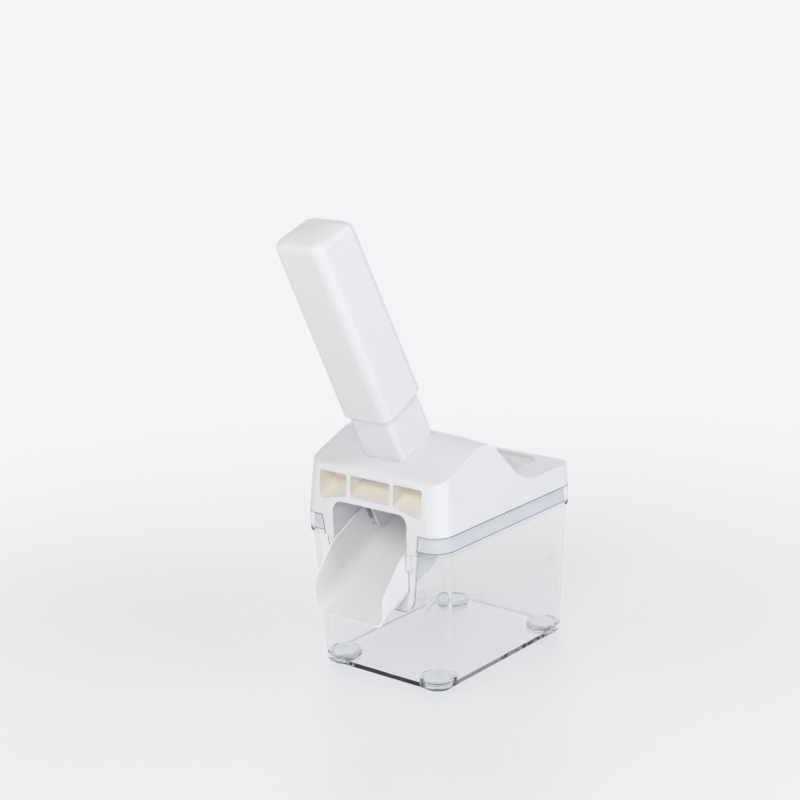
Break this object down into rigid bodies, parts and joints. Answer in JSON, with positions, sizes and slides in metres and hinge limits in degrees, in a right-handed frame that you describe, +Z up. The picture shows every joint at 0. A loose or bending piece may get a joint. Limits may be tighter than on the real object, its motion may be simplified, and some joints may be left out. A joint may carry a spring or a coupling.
{
  "type": "plum pitter",
  "caption": "Spring-return plum pitter: a slanted press handle drives crossed blades through the fruit seat, with rear feed tray, front chute and clear stone container.",
  "frame": {"origin": "middle of the footprint box, on the table under the feet", "axes": "+Z up; the chute and the leaning handle point to -Y, the feed tray to +Y; X is the width"},
  "size_m": [0.118, 0.2075, 0.3124],
  "materials": {
    "clear_plastic": "clear polished moulding",
    "white_plastic": "white moulding with a soft gloss",
    "soft_clear": "clear soft plastic",
    "steel": "bright stainless steel",
    "soft_grey": "matt silicone",
    "bush_plastic": "natural acetal"
  },
  "bodies": {
    "container_body": {"container": "clear_plastic", "foot_front_left": "soft_clear", "foot_front_right": "soft_clear", "foot_rear_left": "soft_clear", "foot_rear_right": "soft_clear"},
    "upper_unit": {"housing": "white_plastic", "feed_tray": "white_plastic", "tray_screws": "steel", "chute": "white_plastic", "chute_screws": "steel", "seat_seal": "soft_grey", "seal_ring": "white_plastic", "seal_ring_screws": "steel", "guide_tube": "white_plastic", "stripper_cage": "white_plastic", "cage_screws": "steel", "stem_bush": "bush_plastic", "return_spring": "steel"},
    "press": {"spring_washer": "steel", "handle_sleeve": "white_plastic", "plunger_stem": "steel", "stem_pin": "steel", "buffer_washer": "soft_grey", "plunger_head": "white_plastic", "head_pin": "steel", "blade_lengthwise": "steel", "blade_crosswise": "steel"}
  },
  "joints": [
    {"name": "upper_unit_lift", "type": "slide", "parent": "container_body", "child": "upper_unit", "axis": [0, 0, 1], "range_m": [0, 0.1]},
    {"name": "handle_press", "type": "slide", "parent": "upper_unit", "child": "press", "axis": [0, 0.4384, -0.8988], "range_m": [0, 0.03], "stiffness_N_per_m": 400, "springref_m": -0.02, "deforming": ["return_spring"]}
  ]
}
